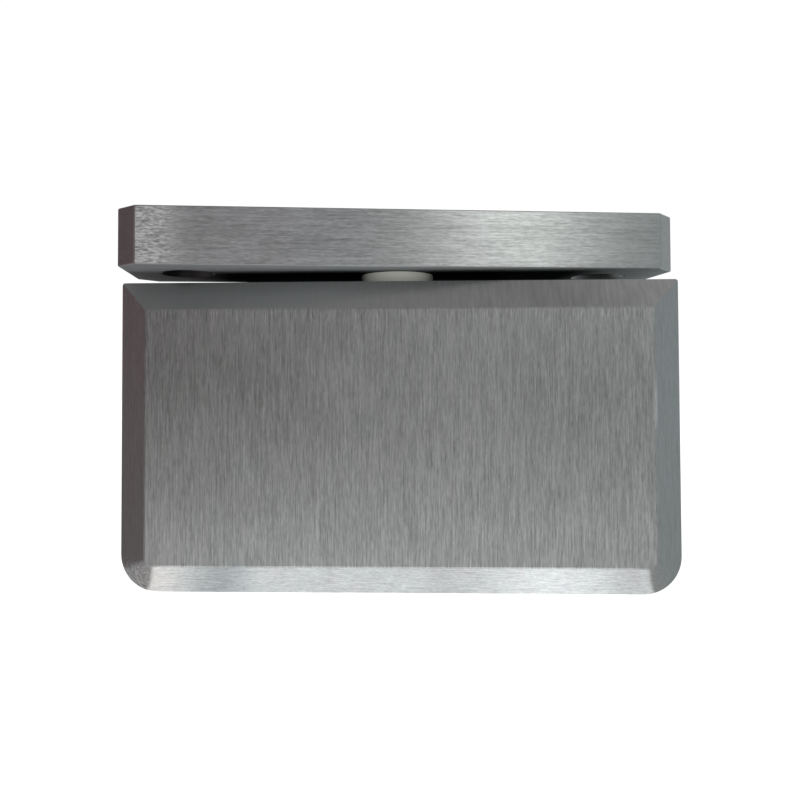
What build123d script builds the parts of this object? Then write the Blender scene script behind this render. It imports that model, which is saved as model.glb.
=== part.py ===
from build123d import *
import os

# Pivot hinge for a frameless glass door: a mounting plate for the header or the floor, a
# sprung pivot pin, and a clamp of two bevelled plates that grips the edge of the glass.
# Millimetres. +Z is the pivot axis, -Y the front of the door, z = 0 the clamp's free edge.

# Clamp plates
hinge_width = 92.0
clamp_height = 51.3
side_plate_thickness = 5.2
bevel_width = 4.8
bevel_depth = 3.0
lower_corner_radius = 6.2
upper_corner_radius = 0.5
edge_break = 0.15

# Glass and what seals it
glass_thickness = 10.0
gasket_thickness = 1.0
gasket_inset = 1.2
sleeve_to_glass_gap = 0.5

# Mounting plate
mount_width = 92.5
mount_depth = 22.5
mount_thickness = 9.4
mount_corner_chamfer = 3.2
mount_screw_spacing = 72.4
mount_screw_bore = 5.3
mount_countersink = 9.2
plate_turn = 7.2
pivot_gap = 2.0

# Pivot pin
pin_diameter = 8.0
pin_across_flats = 6.4
pin_head_diameter = 11.0
pin_head_height = 2.4
pin_head_recess = 0.3
pin_socket = 4.0
pin_socket_depth = 1.8
journal_diameter = 6.0
groove_diameter = 4.8
pin_tail = 0.9

# Pivot block, its spring chamber and its cap
pocket_depth = 1.0
upper_wall = 8.0
chamber_height = 18.0
cap_thickness = 5.0
cap_rim = 1.7
cap_corner_chamfer = 1.2
cap_land_wall = 0.4
block_wall = 0.9
block_edge_chamfer = 0.6
block_screw_rise = 15.0
notch_clearance = 3.0

# Self-centring leaf springs
spring_length = 22.0
spring_thickness = 1.0
spring_travel = 0.9
spring_ledge = 2.2
spring_end_gap = 0.5
spring_corner_chamfer = 1.0

# Bushes, washer and retaining ring
bush_flange_diameter = 12.5
bush_barrel_diameter = 10.5
bush_barrel_length = 7.4
lower_flange_diameter = 10.4
lower_flange_thickness = 0.8
lower_barrel_diameter = 8.4
washer_thickness = 0.6
ring_diameter = 9.4
ring_thickness = 0.8
ring_mouth = 4.2

# Screws
clamp_screw_diameter = 6.0
clamp_screw_head = 10.5
clamp_screw_head_height = 2.6
clamp_screw_length = 18.0
clamp_screw_socket = 4.0
clamp_screw_rise = 5.5
boss_diameter = 8.6
boss_height = 8.5
sleeve_wall = 0.7
block_to_sleeve_gap = 0.9
block_screw_diameter = 4.0
block_screw_head = 7.0
block_screw_head_height = 4.0
block_screw_grip = 2.8
block_screw_socket = 3.0
cap_screw_diameter = 3.0
cap_screw_head = 5.5
cap_screw_head_height = 2.0
cap_screw_length = 9.0
cap_screw_socket = 2.0
lock_screw_diameter = 4.0
lock_screw_length = 6.0
lock_screw_socket = 2.0
lock_screw_height = 4.2
socket_depth_ratio = 0.5
screw_recess = 0.15

# Clearances
running_clearance = 0.05
thread_clearance = 0.1
seat_clearance = 0.05
sleeve_clearance = 0.1
end_float = 0.1

# Planes of the stack across the door, measured from its middle plane
inner_face = glass_thickness / 2 + gasket_thickness
outer_face = inner_face + side_plate_thickness
pocket_floor = inner_face + pocket_depth

# Levels up the pivot axis
block_height = upper_wall + chamber_height + cap_thickness
block_bottom = clamp_height - block_height
cap_top = block_bottom + cap_thickness
chamber_top = cap_top + chamber_height
notch_bottom = block_bottom - notch_clearance
mount_bottom = clamp_height + pivot_gap
mount_top = mount_bottom + mount_thickness
pin_head_top = mount_top - pin_head_recess
pin_head_bottom = pin_head_top - pin_head_height
washer_stack = end_float + washer_thickness + ring_thickness + pin_tail
ring_recess_depth = lower_flange_thickness + washer_stack
ring_recess_top = block_bottom + ring_recess_depth
washer_top = ring_recess_top - lower_flange_thickness - end_float
ring_top = washer_top - washer_thickness
pin_bottom = ring_top - ring_thickness - pin_tail / 2

# Places along the width
chamber_length = spring_length + 2 * seat_clearance
head_room = block_screw_head + 2 * thread_clearance
block_width = chamber_length + 2 * (head_room + 2 * block_wall)
block_screw_x = chamber_length / 2 + block_wall + head_room / 2
block_screw_z = block_bottom + block_screw_rise
sleeve_bore = boss_diameter + 2 * sleeve_clearance
sleeve_diameter = sleeve_bore + 2 * sleeve_wall
clamp_screw_x = block_width / 2 + block_to_sleeve_gap + sleeve_diameter / 2
clamp_screw_z = block_bottom + clamp_screw_rise
notch_width = 2 * (clamp_screw_x + sleeve_diameter / 2 + sleeve_to_glass_gap)
spring_inner = pin_across_flats / 2 + running_clearance
spring_outer = spring_inner + spring_thickness
ledge_half = spring_outer + seat_clearance
cap_end_land = cap_screw_head + 2 * cap_land_wall
cap_length = chamber_length + 2 * cap_end_land
cap_width = 2 * pocket_floor - 2 * cap_rim
cap_screw_x = chamber_length / 2 + cap_end_land / 2

# Work planes: the clamp's front and back seen from outside, and the plate turned on its pin
front = Plane.XZ
back = Plane(origin=(0, 0, 0), x_dir=(-1, 0, 0), z_dir=(0, 1, 0))
mount_plane = Plane.XY.offset(mount_bottom).rotated((0, 0, plate_turn))
mount_rear = Plane(
    origin=mount_plane.from_local_coords((0, mount_depth / 2, lock_screw_height)),
    x_dir=-mount_plane.x_dir,
    z_dir=mount_plane.y_dir,
)
underside = Plane(origin=mount_plane.origin, x_dir=mount_plane.x_dir, z_dir=(0, 0, -1))
block_underside = Plane(origin=(0, 0, block_bottom), x_dir=(1, 0, 0), z_dir=(0, 0, -1))

os.makedirs("parts", exist_ok=True)


# Mounting plate: a solid bar with chamfered corners, countersunk from the door's side
with BuildPart() as mounting_plate:
    with BuildSketch(mount_plane) as bar:
        Rectangle(mount_width, mount_depth)
        chamfer(bar.vertices(), mount_corner_chamfer)
    extrude(amount=mount_thickness)
    chamfer(mounting_plate.edges(), edge_break)
    with Locations(underside):
        with GridLocations(mount_screw_spacing, 1, 2, 1):
            CounterSinkHole(mount_screw_bore / 2, mount_countersink / 2)
    with BuildSketch(mount_plane):
        Circle(pin_diameter / 2 + seat_clearance)
    extrude(amount=mount_thickness, mode=Mode.SUBTRACT)
    with BuildSketch(Plane.XY.offset(pin_head_bottom)):
        Circle(pin_head_diameter / 2 + sleeve_clearance)
    extrude(amount=pin_head_height + pin_head_recess, mode=Mode.SUBTRACT)
    with BuildSketch(mount_rear):
        Circle(lock_screw_diameter / 2 + thread_clearance)
    extrude(amount=-mount_depth / 2, mode=Mode.SUBTRACT)
mounting_plate.part.label = "mounting_plate"


# Pivot pin: head with a key socket, shank, squared cam, lower journal with a ring groove
with BuildPart() as pivot_pin:
    with BuildSketch(Plane.XY.offset(pin_head_bottom)):
        Circle(pin_head_diameter / 2)
    extrude(amount=pin_head_height)
    with BuildSketch(Plane.XY.offset(chamber_top)):
        Circle(pin_diameter / 2)
    extrude(amount=pin_head_bottom - chamber_top)
    with BuildSketch(Plane.XY.offset(cap_top + spring_end_gap)):
        Circle(pin_diameter / 2)
        Rectangle(pin_across_flats, pin_across_flats, mode=Mode.INTERSECT)
    extrude(amount=chamber_height - spring_end_gap)
    with BuildSketch(Plane.XY.offset(pin_bottom)):
        Circle(journal_diameter / 2)
    extrude(amount=cap_top + spring_end_gap - pin_bottom)
    with BuildSketch(Plane.XY.offset(ring_top)):
        Circle(journal_diameter / 2 + edge_break)
        Circle(groove_diameter / 2, mode=Mode.SUBTRACT)
    extrude(amount=-ring_thickness, mode=Mode.SUBTRACT)
    with BuildSketch(Plane.XY.offset(pin_head_top)):
        RegularPolygon(pin_socket / 2, 6, major_radius=False)
    extrude(amount=-pin_socket_depth, mode=Mode.SUBTRACT)
pivot_pin.part.label = "pivot_pin"


# Lock screw: a flat-point grub screw that fixes the pin's angle in the mounting plate
lock_screw_end = mount_depth / 2 - pin_diameter / 2 - seat_clearance
with BuildPart() as pin_lock_screw:
    with BuildSketch(mount_rear.offset(-lock_screw_end)):
        Circle(lock_screw_diameter / 2)
    extrude(amount=lock_screw_length)
    with BuildSketch(mount_rear.offset(lock_screw_length - lock_screw_end)):
        RegularPolygon(lock_screw_socket / 2, 6, major_radius=False)
    extrude(amount=-lock_screw_length * socket_depth_ratio, mode=Mode.SUBTRACT)
pin_lock_screw.part.label = "pin_lock_screw"


# Blank that both clamp plates are milled from: bevelled all round, pocketed for the block
with BuildPart() as plate_blank:
    with BuildSketch(front.offset(inner_face)) as outline:
        Rectangle(hinge_width, clamp_height, align=(Align.CENTER, Align.MIN))
        fillet(outline.vertices().group_by(Axis.Y)[0], lower_corner_radius)
    extrude(amount=side_plate_thickness)
    outside = plate_blank.faces().sort_by(Axis.Y)[0]
    chamfer(outside.edges(), bevel_width, bevel_depth, reference=outside)
    chamfer(plate_blank.faces().sort_by(Axis.Y)[0].edges(), edge_break)
    with BuildSketch(front.offset(inner_face)) as rounded:
        Rectangle(hinge_width, clamp_height, align=(Align.CENTER, Align.MIN))
        fillet(rounded.vertices().group_by(Axis.Y)[-1], upper_corner_radius)
    extrude(amount=side_plate_thickness, mode=Mode.INTERSECT)
    with BuildSketch(front.offset(inner_face)):
        with Locations((0, clamp_height)):
            Rectangle(
                block_width + 2 * seat_clearance,
                block_height + seat_clearance,
                align=(Align.CENTER, Align.MAX),
            )
    extrude(amount=pocket_depth, mode=Mode.SUBTRACT)


# Front plate: plain outside, with two tapped bosses and two tapped holes for the block
with BuildPart() as front_plate:
    add(plate_blank.part)
    with BuildSketch(front.offset(inner_face)):
        with Locations((0, clamp_screw_z)):
            with GridLocations(2 * clamp_screw_x, 1, 2, 1):
                Circle(boss_diameter / 2)
    extrude(amount=-boss_height)
    with BuildSketch(front.offset(inner_face - boss_height)):
        with Locations((0, clamp_screw_z)):
            with GridLocations(2 * clamp_screw_x, 1, 2, 1):
                Circle(clamp_screw_diameter / 2 + thread_clearance)
    extrude(
        amount=boss_height + side_plate_thickness - bevel_depth / 2, mode=Mode.SUBTRACT
    )
    with BuildSketch(front.offset(pocket_floor)):
        with Locations((0, block_screw_z)):
            with GridLocations(2 * block_screw_x, 1, 2, 1):
                Circle(block_screw_diameter / 2 + thread_clearance)
    extrude(amount=block_screw_grip + thread_clearance, mode=Mode.SUBTRACT)
front_plate.part.label = "front_plate"


# Back plate: the same blank turned round, counterbored for the two clamp screws
with BuildPart() as back_plate:
    mirror(plate_blank.part, about=front)
    with Locations(back.offset(outer_face)):
        with Locations((0, clamp_screw_z)):
            with GridLocations(2 * clamp_screw_x, 1, 2, 1):
                CounterBoreHole(
                    clamp_screw_diameter / 2 + sleeve_clearance,
                    clamp_screw_head / 2 + thread_clearance,
                    clamp_screw_head_height + screw_recess,
                    depth=side_plate_thickness,
                )
back_plate.part.label = "back_plate"


# Gaskets: soft sheets between glass and plates, notched as the glass is
with BuildPart() as front_gasket:
    with BuildSketch(front.offset(inner_face)) as sheet:
        with Locations((0, gasket_inset)):
            Rectangle(
                hinge_width - 2 * gasket_inset,
                clamp_height - 2 * gasket_inset,
                align=(Align.CENTER, Align.MIN),
            )
        fillet(
            sheet.vertices().group_by(Axis.Y)[0], lower_corner_radius - gasket_inset
        )
        with Locations((0, notch_bottom)):
            Rectangle(
                notch_width,
                clamp_height,
                align=(Align.CENTER, Align.MIN),
                mode=Mode.SUBTRACT,
            )
    extrude(amount=-gasket_thickness)
front_gasket.part.label = "front_gasket"

with BuildPart() as back_gasket:
    mirror(front_gasket.part, about=front)
back_gasket.part.label = "back_gasket"


# Pivot block: bored for the upper bush, hollow below it for the springs, open downwards
with BuildPart() as pivot_block:
    with BuildSketch(Plane.XY.offset(block_bottom)):
        Rectangle(block_width, 2 * pocket_floor)
    extrude(amount=block_height)
    chamfer(pivot_block.edges().filter_by(Axis.Z), block_edge_chamfer)
    with BuildSketch(Plane.XY.offset(chamber_top)):
        Circle(bush_barrel_diameter / 2)
    extrude(amount=upper_wall, mode=Mode.SUBTRACT)
    with BuildSketch(Plane.XY.offset(cap_top)):
        Rectangle(chamber_length, 2 * ledge_half)
        Rectangle(chamber_length - 2 * spring_ledge, 2 * (ledge_half + spring_travel))
    extrude(amount=chamber_height, mode=Mode.SUBTRACT)
    with BuildSketch(Plane.XY.offset(block_bottom)) as cap_pocket:
        Rectangle(cap_length + 2 * seat_clearance, cap_width + 2 * seat_clearance)
        chamfer(cap_pocket.vertices(), cap_corner_chamfer)
    extrude(amount=cap_thickness, mode=Mode.SUBTRACT)
    with BuildSketch(Plane.XY.offset(cap_top)):
        with GridLocations(2 * cap_screw_x, 1, 2, 1):
            Circle(cap_screw_diameter / 2 + thread_clearance)
    extrude(amount=cap_screw_length - cap_thickness + screw_recess, mode=Mode.SUBTRACT)
    with Locations(back.offset(pocket_floor)):
        with Locations((0, block_screw_z)):
            with GridLocations(2 * block_screw_x, 1, 2, 1):
                CounterBoreHole(
                    block_screw_diameter / 2 + thread_clearance,
                    head_room / 2,
                    block_screw_head_height + screw_recess,
                )
pivot_block.part.label = "pivot_block"


# Block cap: closes the spring chamber and carries the lower bush
with BuildPart() as block_cap:
    with BuildSketch(Plane.XY.offset(block_bottom)) as cap_outline:
        Rectangle(cap_length, cap_width)
        chamfer(cap_outline.vertices(), cap_corner_chamfer)
    extrude(amount=cap_thickness)
    with BuildSketch(Plane.XY.offset(block_bottom)):
        Circle(lower_flange_diameter / 2 + seat_clearance)
    extrude(amount=ring_recess_depth, mode=Mode.SUBTRACT)
    with BuildSketch(Plane.XY.offset(block_bottom)):
        Circle(lower_barrel_diameter / 2)
    extrude(amount=cap_thickness, mode=Mode.SUBTRACT)
    with Locations(block_underside):
        with GridLocations(2 * cap_screw_x, 1, 2, 1):
            CounterBoreHole(
                cap_screw_diameter / 2 + thread_clearance,
                cap_screw_head / 2 + thread_clearance,
                cap_screw_head_height + screw_recess,
            )
block_cap.part.label = "block_cap"


# Upper bush: white nylon; its flange carries the mounting plate across the pivot gap
with BuildPart() as thrust_bush:
    with BuildSketch(Plane.XY.offset(clamp_height)):
        Circle(bush_flange_diameter / 2)
    extrude(amount=pivot_gap - end_float)
    with BuildSketch(Plane.XY.offset(clamp_height)):
        Circle(bush_barrel_diameter / 2)
    extrude(amount=-bush_barrel_length)
    with BuildSketch(Plane.XY.offset(clamp_height - bush_barrel_length)):
        Circle(pin_diameter / 2 + running_clearance)
    extrude(amount=bush_barrel_length + pivot_gap, mode=Mode.SUBTRACT)
thrust_bush.part.label = "thrust_bush"


# Lower bush: flanged nylon ring in the cap, around the pin's lower journal
with BuildPart() as lower_bush:
    with BuildSketch(Plane.XY.offset(ring_recess_top)):
        Circle(lower_flange_diameter / 2)
    extrude(amount=-lower_flange_thickness)
    with BuildSketch(Plane.XY.offset(ring_recess_top)):
        Circle(lower_barrel_diameter / 2)
    extrude(amount=cap_thickness - ring_recess_depth)
    with BuildSketch(Plane.XY.offset(block_bottom)):
        Circle(journal_diameter / 2 + running_clearance)
    extrude(amount=cap_thickness, mode=Mode.SUBTRACT)
lower_bush.part.label = "lower_bush"


# Leaf springs: one on each side of the pin, flat on its cam when the door is closed
with BuildPart() as leaf_spring_front:
    with BuildSketch(front.offset(spring_inner)):
        with Locations((0, cap_top)):
            Rectangle(
                spring_length,
                chamber_height - spring_end_gap,
                align=(Align.CENTER, Align.MIN),
            )
    extrude(amount=spring_thickness)
    chamfer(leaf_spring_front.edges().filter_by(Axis.Y), spring_corner_chamfer)
leaf_spring_front.part.label = "leaf_spring_front"

with BuildPart() as leaf_spring_back:
    mirror(leaf_spring_front.part, about=front)
leaf_spring_back.part.label = "leaf_spring_back"


# Thrust washer and retaining ring: they hold the clamp up on the pin
with BuildPart() as thrust_washer:
    with BuildSketch(Plane.XY.offset(ring_top)):
        Circle(lower_flange_diameter / 2)
        Circle(journal_diameter / 2 + running_clearance, mode=Mode.SUBTRACT)
    extrude(amount=washer_thickness)
thrust_washer.part.label = "thrust_washer"

with BuildPart() as retaining_ring:
    with BuildSketch(Plane.XY.offset(ring_top)):
        Circle(ring_diameter / 2)
        Circle(groove_diameter / 2 + seat_clearance, mode=Mode.SUBTRACT)
        Rectangle(
            ring_mouth,
            ring_diameter,
            align=(Align.CENTER, Align.MAX),
            mode=Mode.SUBTRACT,
        )
    extrude(amount=-ring_thickness)
retaining_ring.part.label = "retaining_ring"


# Clamp screws: low cap heads sunk in the back plate, tapped into the front plate's bosses
with BuildPart() as clamp_screws:
    with BuildSketch(back.offset(outer_face - screw_recess)):
        with Locations((0, clamp_screw_z)):
            with GridLocations(2 * clamp_screw_x, 1, 2, 1):
                Circle(clamp_screw_head / 2)
    extrude(amount=-clamp_screw_head_height)
    with BuildSketch(back.offset(outer_face - screw_recess)):
        with Locations((0, clamp_screw_z)):
            with GridLocations(2 * clamp_screw_x, 1, 2, 1):
                Circle(clamp_screw_diameter / 2)
    extrude(amount=-clamp_screw_length)
    with BuildSketch(back.offset(outer_face - screw_recess)):
        with Locations((0, clamp_screw_z)):
            with GridLocations(2 * clamp_screw_x, 1, 2, 1):
                RegularPolygon(clamp_screw_socket / 2, 6, major_radius=False)
    extrude(amount=-clamp_screw_socket * socket_depth_ratio, mode=Mode.SUBTRACT)
clamp_screws.part.label = "clamp_screws"


# Block screws: cap heads sunk in the block's back, tapped into the front plate
block_screw_seat = pocket_floor - screw_recess - block_screw_head_height
with BuildPart() as block_screws:
    with BuildSketch(back.offset(block_screw_seat)):
        with Locations((0, block_screw_z)):
            with GridLocations(2 * block_screw_x, 1, 2, 1):
                Circle(block_screw_head / 2)
    extrude(amount=block_screw_head_height)
    with BuildSketch(back.offset(block_screw_seat)):
        with Locations((0, block_screw_z)):
            with GridLocations(2 * block_screw_x, 1, 2, 1):
                Circle(block_screw_diameter / 2)
    extrude(amount=-(block_screw_seat + pocket_floor + block_screw_grip))
    with BuildSketch(back.offset(pocket_floor - screw_recess)):
        with Locations((0, block_screw_z)):
            with GridLocations(2 * block_screw_x, 1, 2, 1):
                RegularPolygon(block_screw_socket / 2, 6, major_radius=False)
    extrude(amount=-block_screw_head_height * socket_depth_ratio, mode=Mode.SUBTRACT)
block_screws.part.label = "block_screws"


# Cap screws: low cap heads sunk in the cap, tapped into the block's two ends
with BuildPart() as cap_screws:
    with BuildSketch(block_underside.offset(-screw_recess)):
        with GridLocations(2 * cap_screw_x, 1, 2, 1):
            Circle(cap_screw_head / 2)
    extrude(amount=-cap_screw_head_height)
    with BuildSketch(block_underside.offset(-screw_recess)):
        with GridLocations(2 * cap_screw_x, 1, 2, 1):
            Circle(cap_screw_diameter / 2)
    extrude(amount=-cap_screw_length + screw_recess)
    with BuildSketch(block_underside.offset(-screw_recess)):
        with GridLocations(2 * cap_screw_x, 1, 2, 1):
            RegularPolygon(cap_screw_socket / 2, 6, major_radius=False)
    extrude(amount=-cap_screw_socket * socket_depth_ratio, mode=Mode.SUBTRACT)
cap_screws.part.label = "cap_screws"

parts = [
    mounting_plate,
    pivot_pin,
    pin_lock_screw,
    front_plate,
    back_plate,
    front_gasket,
    back_gasket,
    pivot_block,
    block_cap,
    thrust_bush,
    lower_bush,
    leaf_spring_front,
    leaf_spring_back,
    thrust_washer,
    retaining_ring,
    clamp_screws,
    block_screws,
    cap_screws,
]
for piece in parts:
    export_step(piece.part, f"parts/{piece.part.label}.step")


# Sleeves: nylon tubes over the bosses that keep the glass off the steel
for side, sign in (("left", -1), ("right", 1)):
    with BuildPart() as screw_sleeve:
        with BuildSketch(front.offset(inner_face)):
            with Locations((sign * clamp_screw_x, clamp_screw_z)):
                Circle(sleeve_diameter / 2)
                Circle(sleeve_bore / 2, mode=Mode.SUBTRACT)
        extrude(amount=-2 * inner_face + sleeve_clearance)
    screw_sleeve.part.label = f"screw_sleeve_{side}"
    export_step(screw_sleeve.part, f"parts/{screw_sleeve.part.label}.step")
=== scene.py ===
import math

import bpy
import numpy as np
from mathutils import Matrix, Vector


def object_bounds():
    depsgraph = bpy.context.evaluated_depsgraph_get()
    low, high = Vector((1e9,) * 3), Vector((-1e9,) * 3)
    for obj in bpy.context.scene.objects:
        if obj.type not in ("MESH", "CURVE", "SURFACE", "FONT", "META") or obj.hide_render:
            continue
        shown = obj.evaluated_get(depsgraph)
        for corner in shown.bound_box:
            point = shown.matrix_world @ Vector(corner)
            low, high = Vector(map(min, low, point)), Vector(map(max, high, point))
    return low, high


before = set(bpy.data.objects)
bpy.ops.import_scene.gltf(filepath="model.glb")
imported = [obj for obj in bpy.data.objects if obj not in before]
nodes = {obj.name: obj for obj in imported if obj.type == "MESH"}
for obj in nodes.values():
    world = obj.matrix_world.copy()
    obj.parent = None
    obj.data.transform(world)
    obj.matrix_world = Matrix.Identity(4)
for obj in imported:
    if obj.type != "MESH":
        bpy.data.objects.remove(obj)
cadLow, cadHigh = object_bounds()
clampFront = -min(v.co.y for v in nodes["front_plate"].data.vertices)
cornerRadius = 0.0062  # lower corners of the clamp
toDegrees = 180 / math.pi
tiny = 0.0001  # keeps divisions clear of zero


class Wire:
    # One shader socket. Arithmetic on it adds Math nodes, and node() adds any other node.
    def __init__(self, tree, socket=None):
        self.tree, self.socket = tree, socket

    def node(self, kind, settings=None, inputs=None, out=0):
        made = self.tree.nodes.new(kind)
        for key, value in (settings or {}).items():
            setattr(made, key, value)
        for key, value in (inputs or {}).items():
            if isinstance(value, Wire):
                self.tree.links.new(value.socket, made.inputs[key])
            else:
                made.inputs[key].default_value = value
        return Wire(self.tree, made.outputs[out] if len(made.outputs) else None)

    def maths(self, operation, *terms):
        return self.node("ShaderNodeMath", {"operation": operation}, dict(enumerate(terms)))

    def __add__(self, other):
        return self.maths("ADD", self, other)

    def __radd__(self, other):
        return self.maths("ADD", other, self)

    def __sub__(self, other):
        return self.maths("SUBTRACT", self, other)

    def __rsub__(self, other):
        return self.maths("SUBTRACT", other, self)

    def __mul__(self, other):
        return self.maths("MULTIPLY", self, other)

    def __rmul__(self, other):
        return self.maths("MULTIPLY", other, self)

    def __truediv__(self, other):
        return self.maths("DIVIDE", self, other)

    def __rtruediv__(self, other):
        return self.maths("DIVIDE", other, self)

    def __pow__(self, other):
        return self.maths("POWER", self, other)

    def __neg__(self):
        return self.maths("MULTIPLY", self, -1)

    def __abs__(self):
        return self.maths("ABSOLUTE", self)


def rise(value, low, high):  # 0 below low, 1 above high, smooth between
    settings = {"interpolation_type": "SMOOTHSTEP"}
    return value.node("ShaderNodeMapRange", settings, {0: value, 1: low, 2: high, 3: 0, 4: 1})


def bell(value, middle, half):  # 1 at the middle, falling to 0 at half on each side
    return 1 - rise(abs(value - middle), 0, half)


def fade(value, reach):  # 1 at 0, falling by the same share over each reach
    return value.maths("EXPONENT", value * (-1 / reach))


def coordinates(wire, kind):
    return wire.node("ShaderNodeTexCoord", out=kind)


def split(vector):
    parts = vector.node("ShaderNodeSeparateXYZ", None, {0: vector})
    return [Wire(vector.tree, output) for output in parts.socket.node.outputs]


def join(x, y, z):
    return x.node("ShaderNodeCombineXYZ", None, {0: x, 1: y, 2: z})


def noise(x, y, z, detail=1):
    settings = {"noise_dimensions": "3D"}
    inputs = {"Vector": join(x, y, z), "Scale": 1, "Detail": detail, "Roughness": 0.55}
    return x.node("ShaderNodeTexNoise", settings, inputs)


def grainLines(place, along, width, lengths, shortShare=0.5):
    # Fine lines drawn out along one axis, 0 for x or 2 for z: a layer of short ones and a layer
    # of long ones, started far apart so that they don't follow each other.
    layers = []
    for start, length in zip((0, 40), lengths):
        scales = [1 / width] * 3
        scales[along] = 1 / length
        x, y, z = (value * scale for value, scale in zip(place, scales))
        layers.append(noise(x + start, y, z))
    short, long = layers
    return short * shortShare + long * (1 - shortShare)


def mixColour(amount, first, second):
    settings = {"data_type": "RGBA", "clamp_factor": True}
    first, second = (c if isinstance(c, Wire) else (*c, 1) for c in (first, second))
    return amount.node("ShaderNodeMix", settings, {0: amount, 6: first, 7: second}, 2)


def shade(colour, amount):  # the colour made lighter or darker by a factor
    inputs = {0: colour, 1: join(amount, amount, amount)}
    return amount.node("ShaderNodeVectorMath", {"operation": "MULTIPLY"}, inputs)


def addLight(first, second):
    return first.node("ShaderNodeVectorMath", {"operation": "ADD"}, {0: first, 1: second})


def newMaterial(name):
    material = bpy.data.materials.new(name)
    material.use_nodes = True
    material.node_tree.nodes.clear()
    return material, Wire(material.node_tree)


def surface(wire, inputs):
    return wire.node("ShaderNodeBsdfPrincipled", None, inputs)


def scratches(grain, depth):  # the grain as relief, 0.02 mm deep at most
    return grain.node("ShaderNodeBump", None, {"Strength": depth, "Distance": 0.00002, "Height": grain})


def mixShader(amount, first, second):
    return amount.node("ShaderNodeMixShader", None, {0: amount, 1: first, 2: second})


def finishMaterial(wire, shader):
    wire.node("ShaderNodeOutputMaterial", None, {"Surface": shader})


def giveMaterial(material, *names):
    for name in names:
        mesh = nodes[name].data
        mesh.materials.clear()
        mesh.materials.append(material)


# Studio: what the steel reflects, in a white room. Azimuths and heights are in degrees, with
# azimuth 0 in front. Turns run from -1 at the left wall to 1 at the right one. Dusks are the
# middle, half width and strength of a darker part of the walls.
studio = {
    "leftWall": (0.157, 0.124, 0.128),
    "rightWall": (0.352, 0.370, 0.377),
    "farRightWall": (0.308, 0.347, 0.358),
    "wallTurn": (-0.27, 0.0),
    "farRight": (80, 36),
    "leftDusk": (-28, 22, 0.42),
    "farLeftDusk": (-106, 24, 0.85),
    "rightDusk": (38, 16, 0.22),
    "leftCeiling": (0.120, 0.118, 0.120),
    "rightCeiling": (0.41, 0.41, 0.41),
    "ceilingTurn": (-0.75, 1.35),
    "ceilingRise": (18, 50),
    "lampTint": (0.985, 1.0, 0.955),
    "frontStrip": (22.6, 7.2),
    "frontStripFoot": (4, 10),
    "frontStripTop": (18, 44),
    "frontStripStrength": 2.2,
    "backStrip": (158, 16),
    "backStripFoot": (2, 10),
    "backStripTop": (45, 75),
    "backStripStrength": 0.9,
    "zenith": (80, 88),
    "zenithStrength": 0.22,
    "fullBounces": 3.5,
    "laterBounces": 0.1,
    "white": 1.02,
}


def bounceLoss(wire, fullBounces):  # 1 for what the hinge reflects, less between its own pieces
    depth = wire.node("ShaderNodeLightPath", out="Ray Depth")
    later = wire.maths("GREATER_THAN", depth, fullBounces)
    return 1 - later * (1 - studio["laterBounces"])


def makeStudio(size):
    world = bpy.data.worlds.new("studioRoom")
    world.use_nodes = True
    world.node_tree.nodes.clear()
    wire = Wire(world.node_tree)
    x, y, z = split(coordinates(wire, "Generated"))
    flat = (x * x + y * y) ** 0.5
    side = x / wire.maths("MAXIMUM", flat, tiny)
    azimuth = wire.maths("ARCTAN2", x, -y) * toDegrees
    fullTurn = wire.maths("ARCTAN2", -x, y) * toDegrees + 180  # azimuth counted from 0 to 360
    height = wire.maths("ARCTAN2", z, flat) * toDegrees
    walls = mixColour(rise(side, *size["wallTurn"]), size["leftWall"], size["rightWall"])
    walls = mixColour(bell(azimuth, *size["farRight"]), walls, size["farRightWall"])
    for middle, half, drop in (size["leftDusk"], size["farLeftDusk"], size["rightDusk"]):
        walls = shade(walls, 1 - bell(azimuth, middle, half) * drop)
    ceiling = mixColour(rise(side, *size["ceilingTurn"]), size["leftCeiling"], size["rightCeiling"])
    room = mixColour(rise(height, *size["ceilingRise"]), walls, ceiling)
    inFront = bell(azimuth, *size["frontStrip"]) * rise(height, *size["frontStripFoot"])
    inFront = inFront * (1 - rise(height, *size["frontStripTop"])) * size["frontStripStrength"]
    behind = bell(fullTurn, *size["backStrip"]) * rise(height, *size["backStripFoot"])
    behind = behind * (1 - rise(height, *size["backStripTop"])) * size["backStripStrength"]
    above = rise(height, *size["zenith"]) * size["zenithStrength"]
    glow = addLight(room, shade(size["lampTint"], inFront + behind + above))
    strength = bounceLoss(wire, size["fullBounces"])
    around = wire.node("ShaderNodeBackground", None, {"Color": glow, "Strength": strength})
    white = (size["white"], size["white"], size["white"], 1)
    plain = wire.node("ShaderNodeBackground", None, {"Color": white, "Strength": 1})
    seen = wire.node("ShaderNodeLightPath", out="Is Camera Ray")
    wire.node("ShaderNodeOutputWorld", None, {"Surface": mixShader(seen, around, plain)})
    bpy.context.scene.world = world


makeStudio(studio)

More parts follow.
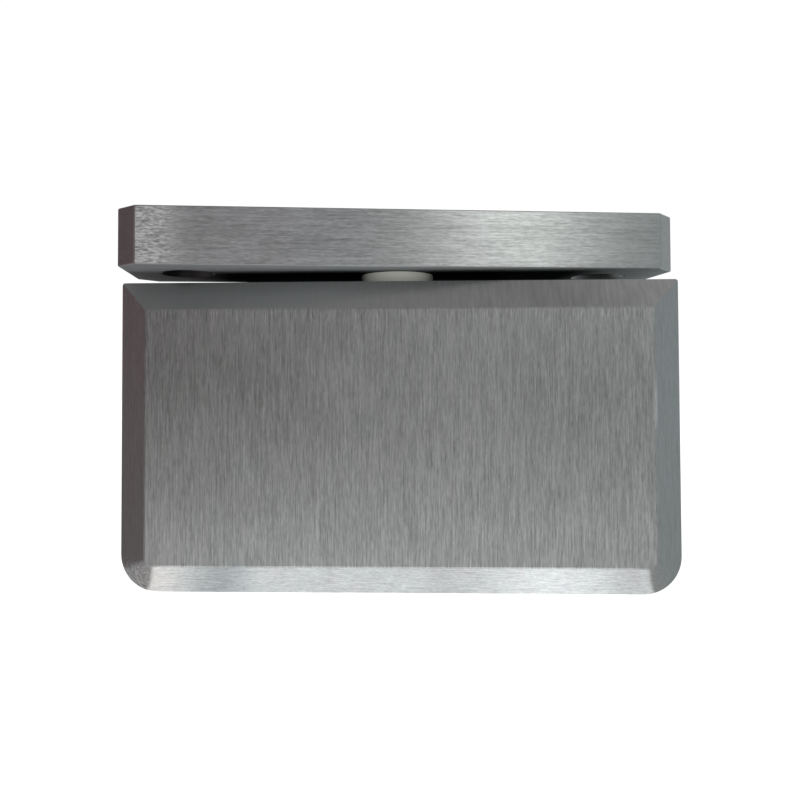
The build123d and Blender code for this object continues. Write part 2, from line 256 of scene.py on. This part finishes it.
# Floor: pale and plain, level with the clamp's free edge. What the steel sees of it is lit in
# front of the hinge and most at its foot, in parts along x: middle, half width and lift or tint.
floorLook = {
    "halfSize": 1.5,
    "gridPoints": 5,
    "seenGlow": 0.97,
    "colour": 0.72,
    "left": (0.158, 0.142, 0.144),
    "right": (0.374, 0.384, 0.377),
    "farRight": (0.321, 0.355, 0.362),
    "turn": (-0.75, 0.1),
    "farTurn": (0.5, 0.9),
    "bodyEnd": 0.035,
    "frontEdge": (-0.002, 0.008),
    "frontStart": (0, 0.025),
    "frontGlow": 0.23,
    "frontReach": 0.15,
    "frontTurn": (0.36, 0.78),
    "rearStart": (0.02, 0.08),
    "rearGlow": 0.30,
    "rearReach": 0.30,
    "footGlow": 0.72,
    "footEnd": (0.0410, 0.0422),
    "footDepth": (0.002, 0.010),
    "footTint": (0.960, 1.008, 1.035),
    "footTints": [
        (-0.0410, 0.0085, (1.01, 1.0, 0.985)),
        (-0.0290, 0.0075, (0.885, 1.01, 1.08)),
    ],
    "footLevels": [
        (-0.0410, 0.0062, 0.32),
        (-0.0360, 0.0050, -0.06),
        (-0.0297, 0.0074, -0.37),
        (0.0080, 0.0060, -0.10),
        (0.0255, 0.0155, 0.34),
        (0.0375, 0.0060, -0.16),
    ],
    "cornerGlow": 0.26,
    "cornerEnd": (0.049, 0.056),
    "fullBounces": 2.5,
}


def makeFloor(size):
    # A flat grid: x and y run over the two parameters and z stays at the clamp's lower edge.
    count = size["gridPoints"]
    span = np.linspace(-size["halfSize"], size["halfSize"], count)
    x, y = np.meshgrid(span, span, indexing="ij")
    points = np.stack([x, y, np.full_like(x, cadLow.z)], -1).reshape(-1, 3)
    index = np.arange(count * count).reshape(count, count)
    corners = [index[:-1, :-1], index[1:, :-1], index[1:, 1:], index[:-1, 1:]]
    mesh = bpy.data.meshes.new("floor")
    mesh.from_pydata(points.tolist(), [], np.stack(corners, -1).reshape(-1, 4).tolist())
    mesh.materials.append(makePaleFloor(size))
    floor = bpy.data.objects.new("floor", mesh)
    bpy.context.scene.collection.objects.link(floor)


def makePaleFloor(size):
    material, wire = newMaterial("paleFloor")
    x, y, z = split(coordinates(wire, "Object"))
    pastEnd = wire.maths("MAXIMUM", abs(x) - size["bodyEnd"], 0)
    outward = pastEnd / ((pastEnd * pastEnd + y * y) ** 0.5 + tiny)
    side = outward * wire.maths("SIGN", x)
    base = mixColour(rise(side, *size["turn"]), size["left"], size["right"])
    base = mixColour(rise(side, *size["farTurn"]), base, size["farRight"])
    ahead = wire.maths("MAXIMUM", -y - clampFront, 0)
    broad = rise(ahead, *size["frontStart"]) * fade(ahead, size["frontReach"]) * size["frontGlow"]
    broad = broad * (1 - rise(outward, *size["frontTurn"]))
    foot = size["footGlow"]
    for middle, half, lift in size["footLevels"]:
        foot = foot + bell(x, middle, half) * lift
    foot = foot * (1 - rise(abs(x), *size["footEnd"]))
    corner = rise(-x, *size["footEnd"]) * (1 - rise(-x, *size["cornerEnd"])) * size["cornerGlow"]
    foot = (foot + corner) * (1 - rise(ahead, *size["footDepth"]))
    rear = rise(y, *size["rearStart"]) * fade(y, size["rearReach"]) * size["rearGlow"]
    lamps = (broad + foot) * rise(-y, *size["frontEdge"]) + rear
    tint = size["footTint"]
    for middle, half, local in size["footTints"]:
        tint = mixColour(bell(x, middle, half), tint, local)
    glow = addLight(base, shade(tint, lamps))
    strength = bounceLoss(wire, size["fullBounces"])
    reflected = wire.node("ShaderNodeEmission", None, {"Color": glow, "Strength": strength})
    bright = {"Color": (1, 1, 1, 1), "Strength": size["seenGlow"]}
    bright = wire.node("ShaderNodeEmission", None, bright)
    pale = (size["colour"], size["colour"], size["colour"], 1)
    matt = wire.node("ShaderNodeBsdfDiffuse", None, {"Color": pale})
    shown = wire.node("ShaderNodeAddShader", None, {0: bright, 1: matt})
    seen = wire.node("ShaderNodeLightPath", out="Is Camera Ray")
    fromBelow = wire.node("ShaderNodeNewGeometry", out="Backfacing")
    clear = wire.node("ShaderNodeBsdfTransparent")
    finishMaterial(wire, mixShader(fromBelow, mixShader(seen, reflected, shown), clear))
    return material


makeFloor(floorLook)
print("studio and floor ready")

# Clamp steel: upright grain on the faces, level grain along the lower bevel, curved marks on
# the left corner where the two meet, and almost none on the top bevel. The top bevel is painted
# lighter towards the left as painted light, with a painted shade patch. Painted light and shade
# spots on the face are x, z, half widths and lift.
clampSteel = {
    "faceRoughness": 0.36,
    "faceStretch": 0.8,
    "bevelRoughness": 0.30,
    "tints": ((0.574, 0.563, 0.565), (0.563, 0.571, 0.562)),
    "tintSpread": (0.35, 0.65),
    "faceFacing": (0.93, 0.97),
    "bevelFacing": (0.30, 0.50),
    "cornerSideways": (0.05, 0.16),
    "cornerDown": (0.03, 0.12),
    "cornerSide": (-0.005, 0.005),
    "frontOnly": (0.005, 0.008),
    "grainWidth": 0.000185,
    "grainLengths": (0.0012, 0.0046),
    "lowerLengths": (0.0006, 0.0024),
    "shortShare": 0.44,
    "curlWidth": 0.0002643,
    "curlTurn": 8,
    "curlSlant": 1500,
    "curlDrift": 30,
    "blotch": (0.0006, 0.0040),
    "streakWidth": 0.0016,
    "streakLength": 0.012,
    "streakContrast": 0.16,
    "faceContrast": 1.5,
    "bevelContrast": 0.75,
    "lowerContrast": 1.3,
    "cornerContrast": 1.7,
    "topContrast": (0.10, 0.50),
    "topContrastTurn": (-0.020, 0.020),
    # painted light on the top bevel: lift at its left and at its right
    "topPaintedLight": (0.46, 0.08),
    "topPaintedLightTurn": (-0.020, 0.012),
    # painted shade on the top bevel: middle and half width, then strength
    "topPaintedShade": (0.0255, 0.0190),
    "topPaintedShadeDrop": 0.19,
    # painted light and shade spots on the face: x, z, half widths and lift
    "paintedLightAndShadeSpots": [
        (-0.0395, 0.040, 0.014, 0.015, -0.11),
        (-0.0250, 0.035, 0.012, 0.010, -0.08),
        (-0.0084, 0.035, 0.010, 0.008, 0.12),
        (-0.0400, 0.009, 0.010, 0.013, 0.15),
        (0.0090, 0.034, 0.018, 0.022, 0.09),
    ],
    "edgeBand": (0.0455, 0.0012),
    "edgeBandContrast": 0.7,
    "glintAcross": (0.0413, 0.0005),
    "glintUpright": (0.0310, 0.0065),
    "glintLift": 0.55,
    "roughChange": 0.05,
    "bumpDepth": 0.10,
}


def makeClampSteel(size):
    material, wire = newMaterial("clampSteel")
    place = split(coordinates(wire, "Object"))
    x, y, z = place
    nx, ny, nz = split(coordinates(wire, "Normal"))
    face = rise(abs(ny), *size["faceFacing"])
    bevel = 1 - face
    lower = rise(-nz, *size["bevelFacing"]) * bevel
    top = rise(nz, *size["bevelFacing"]) * bevel
    corner = rise(abs(nx), *size["cornerSideways"]) * rise(-nz, *size["cornerDown"]) * bevel
    corner = corner * (1 - rise(x, *size["cornerSide"]))

    width, shortShare = size["grainWidth"], size["shortShare"]
    upright = grainLines(place, 2, width, size["grainLengths"], shortShare)
    level = grainLines(place, 0, width, size["lowerLengths"], shortShare)
    narrow, tall = size["blotch"]
    blotch = noise(x / narrow, y / tall, z / tall, 2)
    cornerX = abs(x) - (cadHigh.x - cornerRadius)
    cornerZ = z - cornerRadius
    reach = (cornerX * cornerX + cornerZ * cornerZ) ** 0.5
    turn = wire.maths("ARCTAN2", cornerZ, cornerX) * size["curlTurn"] + reach * size["curlSlant"]
    curved = noise(reach / size["curlWidth"], turn, x * size["curlDrift"])
    grain = upright + lower * (level - upright)
    grain = grain + top * (blotch - grain)
    grain = grain + corner * (curved - grain)

    banded = face * (1 + bell(z, *size["edgeBand"]) * size["edgeBandContrast"])
    contrast = size["bevelContrast"] + banded * (size["faceContrast"] - size["bevelContrast"])
    contrast = contrast + lower * (size["lowerContrast"] - size["bevelContrast"])
    contrast = contrast + corner * (size["cornerContrast"] - contrast)
    left, right = size["topContrast"]
    topContrast = left + rise(x, *size["topContrastTurn"]) * (right - left)
    contrast = contrast + top * (topContrast - contrast)

    wide, far = size["streakWidth"], size["streakLength"]
    streaks = noise(x / wide, y / wide, z / far)
    change = (grain - 0.5) * contrast + (streaks - 0.5) * face * size["streakContrast"]
    # Painted light: the top bevel is lifted, more towards the left.
    left, right = size["topPaintedLight"]
    topPaintedLight = left + rise(x, *size["topPaintedLightTurn"]) * (right - left)
    # Painted shade: a darker patch on the top bevel, right of the middle.
    change = change + top * (topPaintedLight - bell(x, *size["topPaintedShade"]) * size["topPaintedShadeDrop"])
    # Painted light and shade: lighter and darker spots on the face.
    for spotX, spotZ, halfX, halfZ, lift in size["paintedLightAndShadeSpots"]:
        change = change + bell(x, spotX, halfX) * bell(z, spotZ, halfZ) * face * lift
    glint = bell(x, *size["glintAcross"]) * bell(z, *size["glintUpright"]) * size["glintLift"]
    glint = glint * rise(-y, *size["frontOnly"])
    tint = rise(noise(x / wide, y / wide, z * (2 / far) + 9), *size["tintSpread"])
    colour = shade(mixColour(tint, *size["tints"]), 1 + change + glint)

    bump = scratches(grain, size["bumpDepth"])
    brushed = surface(wire, {
        "Base Color": colour,
        "Metallic": 1,
        "Roughness": size["faceRoughness"] - change * size["roughChange"],
        "Anisotropic": size["faceStretch"],
        "Normal": bump,
    })
    dressed = surface(wire, {
        "Base Color": colour,
        "Metallic": 1,
        "Roughness": size["bevelRoughness"],
        "Normal": bump,
    })
    finishMaterial(wire, mixShader(face, dressed, brushed))
    return material


giveMaterial(makeClampSteel(clampSteel), "front_plate", "back_plate")

# Plate steel: grain along the plate, reground in a short patch at its left end, where the
# surface leans a little; the patch and the plate's ends are painted lighter as painted light.
# The underside is painted darker towards the left and, behind the front edge, nearly black as
# painted shade of the gap, and the screw holes are painted dark inside as painted shade.
plateSteel = {
    "leftColour": (0.577, 0.554, 0.563),
    "rightColour": (0.557, 0.570, 0.567),
    "colourTurn": (-0.030, 0.030),
    "underColour": (0.550, 0.568, 0.580),
    "roughness": 0.28,
    "stretch": 0.8,
    "endRoughness": 0.30,
    "underRoughness": 0.6,
    "plateTurn": 7.2,
    "frontFacing": (0.9, 0.97),
    "underFacing": (0.6, 0.9),
    "grainWidth": 0.00021,
    "grainLengths": (0.0011, 0.0052),
    "contrast": 1.5,
    "endContrast": 0.6,
    "streakWidth": 0.0011,
    "streakLength": 0.020,
    "streakContrast": 0.25,
    "leftEnd": (-0.0335, -0.0405),
    # painted light on the plate's ends
    "leftEndPaintedLight": 0.32,
    "rightEnd": (0.026, 0.040),
    "rightEndPaintedLight": 0.07,
    "rightCalm": 0.4,
    "patchLength": 0.0009,
    "patchRoughness": 0.42,
    # painted light on the reground patch
    "patchPaintedLight": 0.32,
    "patchContrast": 3.0,
    "patchTilt": 8.5,
    # painted shade and light on the underside, at its left and right
    "underPaintedShading": (-0.19, 0.02),
    "underTurn": (-0.035, 0.015),
    # painted shade of the gap on the underside: where it starts behind the front edge, where it ends
    # towards the sides, and strength
    "paintedGapShadeFront": (-0.0085, -0.0030),
    "paintedGapShadeEnds": (0.0285, 0.0385),
    "paintedGapShade": 0.96,
    "holeAt": 0.0362,
    "holeEdge": (0.00468, 0.00482),
    "holeShade": 0.70,
    "bumpDepth": 0.12,
}


def makePlateSteel(size):
    material, wire = newMaterial("plateSteel")
    turn = (0, 0, math.radians(-size["plateTurn"]))
    whole = coordinates(wire, "Object")
    turned = {"Vector": whole, "Rotation": turn}
    place = split(wire.node("ShaderNodeMapping", None, turned))
    x, y, z = place
    turned = {"Vector": coordinates(wire, "Normal"), "Rotation": turn}
    nx, ny, nz = split(wire.node("ShaderNodeMapping", None, turned))
    front = rise(abs(ny), *size["frontFacing"])
    under = rise(-nz, *size["underFacing"])
    leftEnd = rise(x, *size["leftEnd"])
    rightEnd = rise(x, *size["rightEnd"])
    patch = leftEnd * rise(-ny, *size["frontFacing"])

    width = size["grainWidth"]
    lines = grainLines(place, 0, width, size["grainLengths"])
    marks = noise(x / size["patchLength"], y / width, z / width)
    grain = lines + patch * (marks - lines)
    contrast = size["endContrast"] + front * (size["contrast"] - size["endContrast"])
    contrast = contrast + patch * (size["patchContrast"] - size["contrast"])
    contrast = contrast * (1 - rightEnd * size["rightCalm"])

    wide, far = size["streakWidth"], size["streakLength"]
    streaks = noise(x / far, y / wide, z / wide)
    change = (grain - 0.5) * contrast + (streaks - 0.5) * size["streakContrast"]
    # Painted shade: the underside is darker towards the left.
    left, right = size["underPaintedShading"]
    # Painted light: the reground patch at the left end is lifted.
    change = change + patch * size["patchPaintedLight"]
    change = change + under * (left + rise(x, *size["underTurn"]) * (right - left))
    # Painted light: the plate's ends, apart from front, back and underside, are lifted, the left one
    # most.
    endPaintedLight = leftEnd * size["leftEndPaintedLight"] + rightEnd * size["rightEndPaintedLight"]
    change = change + endPaintedLight * (1 - front) * (1 - under)
    # Painted shade: the underside behind the front edge, between the ends, is darkened as the gap's
    # shade.
    paintedGapShade = rise(split(whole)[1], *size["paintedGapShadeFront"]) * (1 - rise(abs(x), *size["paintedGapShadeEnds"]))
    paintedGapShade = under * paintedGapShade * size["paintedGapShade"]
    # Painted shade inside the screw holes. The mask goes by distance from each hole alone, so it also
    # paints a dark ring round each bore on the top face.
    holeX = abs(x) - size["holeAt"]
    hole = 1 - rise((holeX * holeX + y * y) ** 0.5, *size["holeEdge"])
    colour = mixColour(rise(x, *size["colourTurn"]), size["leftColour"], size["rightColour"])
    colour = mixColour(under, colour, size["underColour"])
    colour = shade(colour, (1 + change) * (1 - paintedGapShade) * (1 - hole * size["holeShade"]))

    bump = scratches(grain, size["bumpDepth"])
    brushed = surface(wire, {
        "Base Color": colour,
        "Metallic": 1,
        "Roughness": size["roughness"],
        "Anisotropic": size["stretch"],
        "Anisotropic Rotation": 0.25,
        "Normal": bump,
    })
    lean = x * -math.tan(math.radians(size["patchTilt"]))
    leaning = {"Strength": 1, "Distance": 1, "Height": lean, "Normal": bump}
    reground = surface(wire, {
        "Base Color": colour,
        "Metallic": 1,
        "Roughness": size["patchRoughness"],
        "Anisotropic": size["stretch"],
        "Normal": wire.node("ShaderNodeBump", None, leaning),
    })
    plain = surface(wire, {
        "Base Color": colour,
        "Metallic": 1 - under,
        "Roughness": size["endRoughness"] + under * (size["underRoughness"] - size["endRoughness"]),
        "Specular IOR Level": 0,
        "Normal": bump,
    })
    finishMaterial(wire, mixShader(front, plain, mixShader(patch, brushed, reground)))
    return material


giveMaterial(makePlateSteel(plateSteel), "mounting_plate")
print("brushed steel ready")

# Even finishes: rings is how strongly fine turning rings about the pivot axis show. On the brass
# block what faces up is painted dark as painted shade; on the nylon, glow is painted light that
# lifts what faces forward or back, and the foot is painted darker as painted shade.
evenFinishes = {
    "turnedSteel": {
        "pieces": ["pivot_pin", "thrust_washer"],
        "colour": (0.62, 0.62, 0.63),
        "metallic": 1,
        "roughness": 0.26,
        "rings": 0.3,
    },
    "screwSteel": {
        "pieces": ["pin_lock_screw", "clamp_screws", "block_screws", "cap_screws"],
        "colour": (0.55, 0.55, 0.56),
        "metallic": 1,
        "roughness": 0.24,
        "rings": 0.1,
    },
    "springSteel": {
        "pieces": ["retaining_ring", "leaf_spring_front", "leaf_spring_back"],
        "colour": (0.36, 0.37, 0.40),
        "metallic": 1,
        "roughness": 0.30,
        "rings": 0.05,
    },
    "blockBrass": {
        "pieces": ["pivot_block", "block_cap"],
        "colour": (0.72, 0.58, 0.32),
        "metallic": 1,
        "roughness": 0.34,
        "rings": 0.1,
        # painted shade on what faces up: strength, then facing range
        "upFacingPaintedShade": 0.75,
        "paintedShadeFacing": (0.5, 0.9),
    },
    "bushNylon": {
        "pieces": ["thrust_bush", "lower_bush", "screw_sleeve_left", "screw_sleeve_right"],
        "colour": (0.90, 0.91, 0.83),
        "metallic": 0,
        "roughness": 0.38,
        "rings": 0.05,
        # painted light: the nylon glows, most where it faces forward or back
        "glow": 0.15,
        "glowFacing": (0.2, 1.0),
        # painted shade low down on the nylon, from the thrust bush's foot downwards
        "bushFootPaintedShade": 0.3,
        "footEnd": (0.0513, 0.0529),
    },
    "gasketSheet": {
        "pieces": ["front_gasket", "back_gasket"],
        "colour": (0.16, 0.16, 0.17),
        "metallic": 0,
        "roughness": 0.6,
        "rings": 0.05,
    },
}
ringsPerMetre = 3300


def makeEvenFinish(name, size):
    material, wire = newMaterial(name)
    x, y, z = split(coordinates(wire, "Object"))
    nx, ny, nz = split(coordinates(wire, "Normal"))
    radius = (x * x + y * y) ** 0.5
    rings = noise(radius * ringsPerMetre, z * ringsPerMetre, 0)
    tone = 1 + (rings - 0.5) * size["rings"]
    # Painted shade: what faces up on the block is darkened.
    if "upFacingPaintedShade" in size:
        tone = tone * (1 - rise(nz, *size["paintedShadeFacing"]) * size["upFacingPaintedShade"])
    # Painted shade: the nylon is darker low down, from the thrust bush's foot downwards.
    if "bushFootPaintedShade" in size:
        tone = tone * (1 - (1 - rise(z, *size["footEnd"])) * size["bushFootPaintedShade"])
    colour = shade(size["colour"], tone)
    inputs = {"Base Color": colour, "Metallic": size["metallic"], "Roughness": size["roughness"]}
    # Painted light: the nylon glows, most where it faces forward or back.
    if "glow" in size:
        inputs["Emission Color"] = shade(colour, rise(abs(ny), *size["glowFacing"]))
        inputs["Emission Strength"] = size["glow"]
    finishMaterial(wire, surface(wire, inputs))
    return material


for finish, look in evenFinishes.items():
    giveMaterial(makeEvenFinish(finish, look), *look["pieces"])
print("even finishes ready:", ", ".join(evenFinishes))

# Camera: close in front of the clamp, a little left of square and looking slightly up
cameraLook = {
    "place": (0.0011, -0.1417, 0.0345),
    "turn": 2.054,
    "tilt": 1.653,
    "roll": -0.19,
    "sensor": 36,
    "lens": 36.34,
    "shift": (0.0314, -0.0509),
    "clip": (0.005, 10),
}


def makeCamera(size):
    camera = bpy.data.objects.new("camera", bpy.data.cameras.new("camera"))
    bpy.context.scene.collection.objects.link(camera)
    turn = Matrix.Rotation(math.radians(size["turn"]), 4, "Z")
    tilt = Matrix.Rotation(math.radians(90 + size["tilt"]), 4, "X")
    roll = Matrix.Rotation(math.radians(size["roll"]), 4, "Z")
    camera.matrix_world = Matrix.Translation(size["place"]) @ turn @ tilt @ roll
    camera.data.sensor_width = size["sensor"]
    camera.data.lens = size["lens"]
    camera.data.shift_x, camera.data.shift_y = size["shift"]
    camera.data.clip_start, camera.data.clip_end = size["clip"]
    bpy.context.scene.camera = camera


makeCamera(cameraLook)
bpy.context.scene.view_settings.view_transform = "Standard"
print("camera ready")
